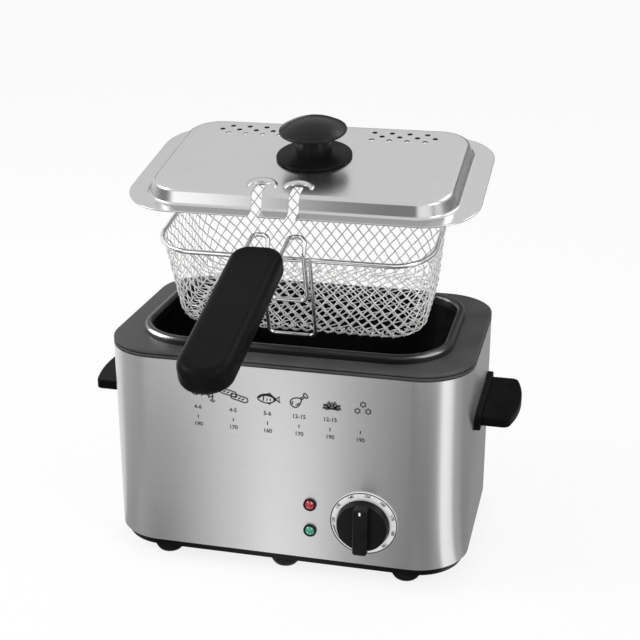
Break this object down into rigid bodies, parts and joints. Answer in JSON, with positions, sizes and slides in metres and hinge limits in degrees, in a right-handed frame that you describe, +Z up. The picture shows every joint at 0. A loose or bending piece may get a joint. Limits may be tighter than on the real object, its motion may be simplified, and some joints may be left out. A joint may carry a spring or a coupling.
{
  "type": "deep fryer",
  "caption": "Small electric deep fryer: steel casing, black oil pot, tipping wire basket on a long grip, lift-off slotted steel lid with a mushroom knob, turning thermostat dial.",
  "frame": {"origin": "on the table plane, under the middle of the casing", "axes": "+X to the right as the cook sees it, -Y towards the cook, +Z up"},
  "size_m": [0.293, 0.2817, 0.2912],
  "materials": {
    "brushed_steel": "vertical brushed casing steel",
    "lid_steel": "brushed pressed steel",
    "bezel_plastic": "fine matt dark grey",
    "pot_coating": "glossy black non-stick",
    "black_plastic": "satin black",
    "base_plastic": "matt black",
    "foot_rubber": "matt",
    "dial_white": "white print",
    "lamp_dark": "dark collar",
    "lamp_red": "clear red",
    "lamp_green": "clear green",
    "wire_chrome": "bright plated wire",
    "plated_steel": "zinc plated",
    "aluminium": "plain",
    "insulator": "pale moulded",
    "heater_sheath": "heat darkened"
  },
  "bodies": {
    "fryer_body": {"outer_shell": "brushed_steel", "top_bezel": "bezel_plastic", "oil_pot": "pot_coating", "base_tray": "base_plastic", "tie_screws": "plated_steel", "foot_front_left": "foot_rubber", "foot_front_middle": "foot_rubber", "foot_front_right": "foot_rubber", "foot_rear_left": "foot_rubber", "foot_rear_middle": "foot_rubber", "foot_rear_right": "foot_rubber", "side_handle_left": "black_plastic", "side_handle_right": "black_plastic", "handle_screws": "plated_steel", "dial_ring": "dial_white", "panel_screws": "plated_steel", "thermostat_body": "insulator", "lamp_holder_red": "lamp_dark", "lamp_lens_red": "lamp_red", "lamp_holder_green": "lamp_dark", "lamp_lens_green": "lamp_green", "heat_spreader": "aluminium", "heating_element": "heater_sheath", "heater_clamps": "plated_steel", "clamp_screws": "plated_steel", "thermal_cutout": "insulator", "sensing_bulb": "heater_sheath", "heat_shield": "plated_steel", "terminal_block": "insulator", "cord_gland": "black_plastic", "gland_nut": "black_plastic"},
    "basket": {"basket_rim": "wire_chrome", "basket_front_mesh": "wire_chrome", "basket_right_mesh": "wire_chrome", "basket_back_mesh": "wire_chrome", "basket_left_mesh": "wire_chrome", "basket_corner_mesh": "wire_chrome", "basket_floor_mesh": "wire_chrome", "basket_bracket": "wire_chrome", "basket_grip": "black_plastic", "handle_wire": "wire_chrome"},
    "lid": {"lid_plate": "lid_steel", "knob_disc": "black_plastic", "lid_knob": "black_plastic", "knob_washer": "plated_steel", "knob_screw": "plated_steel"},
    "thermostat_knob": {"control_knob": "black_plastic", "thermostat_shaft": "plated_steel"}
  },
  "joints": [
    {"name": "basket_lift", "type": "hinge", "parent": "fryer_body", "child": "basket", "pos_m": [0, -0.35752, 0.1845], "axis": [1, 0, 0], "range_deg": [-11.5, 6]},
    {"name": "lid_lift", "type": "slide", "parent": "basket", "child": "lid", "axis": [0.2382, -0.1936, 0.9517], "range_m": [-0.02729, 0.06]},
    {"name": "thermostat_turn", "type": "hinge", "parent": "fryer_body", "child": "thermostat_knob", "pos_m": [0.0562, -0.078, 0.0444], "axis": [0, 1, 0], "range_deg": [-90, 135]}
  ]
}
